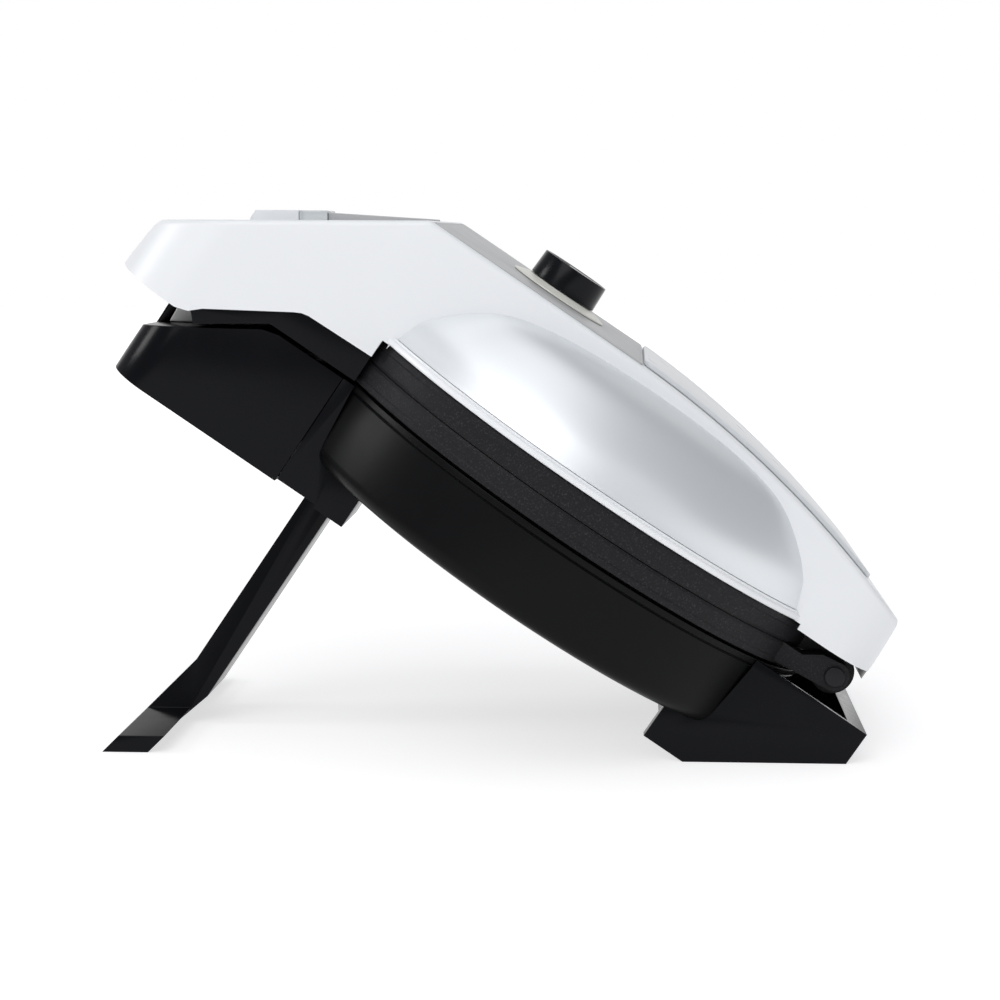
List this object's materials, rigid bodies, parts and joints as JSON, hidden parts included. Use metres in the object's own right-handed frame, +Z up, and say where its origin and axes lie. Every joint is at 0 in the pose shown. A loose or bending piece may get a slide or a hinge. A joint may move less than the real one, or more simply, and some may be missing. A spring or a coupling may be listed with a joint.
{
  "type": "donut maker",
  "caption": "Round clamshell donut maker with a hinged domed lid, latching handle, thermostat knob and a fold-out stand that tips it forward",
  "frame": {"origin": "on the table under the middle of the bounding box, with the appliance propped on its open stand", "axes": "X from the handle towards the hinge, Y across the appliance, Z up"},
  "size_m": [0.3014, 0.2348, 0.2055],
  "materials": {
    "white_plastic": "satin white",
    "silver_dome": "silver-white lacquer",
    "grey_plastic": "light grey",
    "pale_plastic": "pale grey",
    "satin_grey": "warm satin grey",
    "black_plastic": "smooth black",
    "knob_black": "satin black",
    "coated_plate": "non-stick coating on cast aluminium",
    "heater_steel": "dark steel",
    "bright_steel": "plain",
    "phenolic": "brown phenolic",
    "board": "circuit board",
    "lens": "translucent",
    "rubber": "black rubber"
  },
  "bodies": {
    "base": {"base_bowl": "black_plastic", "stand_bay_liner": "black_plastic", "base_handle": "black_plastic", "base_handle_cover": "black_plastic", "front_bracket": "black_plastic", "rear_block": "black_plastic", "cord_gland": "rubber", "lower_plate": "coated_plate", "lower_heating_element": "heater_steel", "lower_heat_shield": "bright_steel", "lower_thermostat": "phenolic", "terminal_block": "phenolic", "latch_keeper": "grey_plastic", "hinge_pin_right": "heater_steel", "hinge_pin_left": "heater_steel", "stand_pivot_pin": "bright_steel", "bottom_screw_1": "bright_steel", "bottom_screw_2": "bright_steel", "bottom_screw_3": "bright_steel", "bottom_screw_4": "bright_steel", "front_foot_pad_right": "rubber", "front_foot_pad_left": "rubber", "rear_foot_pad_right": "rubber", "rear_foot_pad_left": "rubber"},
    "lid": {"lid_cover": "white_plastic", "dome_cap_right": "silver_dome", "rim_trim_right": "white_plastic", "dome_cap_left": "silver_dome", "rim_trim_left": "white_plastic", "lid_inner_housing": "black_plastic", "lid_rear_liner": "black_plastic", "control_panel": "grey_plastic", "top_plate": "pale_plastic", "knob_bezel": "satin_grey", "thermostat_control": "phenolic", "indicator_pod": "white_plastic", "indicator_lens": "lens", "handle_ramp": "grey_plastic", "indicator_board": "board", "power_lamp": "lens", "ready_lamp": "lens", "upper_plate": "coated_plate", "upper_heating_element": "heater_steel", "upper_heat_shield": "bright_steel", "upper_thermostat": "phenolic", "latch_pin": "bright_steel", "latch_spring": "bright_steel"},
    "knob": {"knob": "knob_black", "knob_shaft": "bright_steel"},
    "latch": {"latch_lever": "black_plastic"},
    "stand": {"stand_leg": "black_plastic"}
  },
  "joints": [
    {"name": "lid_hinge", "type": "hinge", "parent": "base", "child": "lid", "pos_m": [0.12632, 0, 0.03167], "axis": [0, 1, 0], "range_deg": [0, 80]},
    {"name": "knob_turn", "type": "hinge", "parent": "lid", "child": "knob", "pos_m": [0.02342, 0, 0.17598], "axis": [0.5592, 0, 0.829], "range_deg": [0, 270]},
    {"name": "latch_hinge", "type": "hinge", "parent": "lid", "child": "latch", "pos_m": [-0.12292, 0, 0.1788], "axis": [0, 1, 0], "range_deg": [0, 14], "stiffness_Nm_per_rad": 0.2},
    {"name": "stand_fold", "type": "hinge", "parent": "base", "child": "stand", "pos_m": [-0.06388, 0, 0.10484], "axis": [0, -1, 0], "range_deg": [0, 90]}
  ]
}
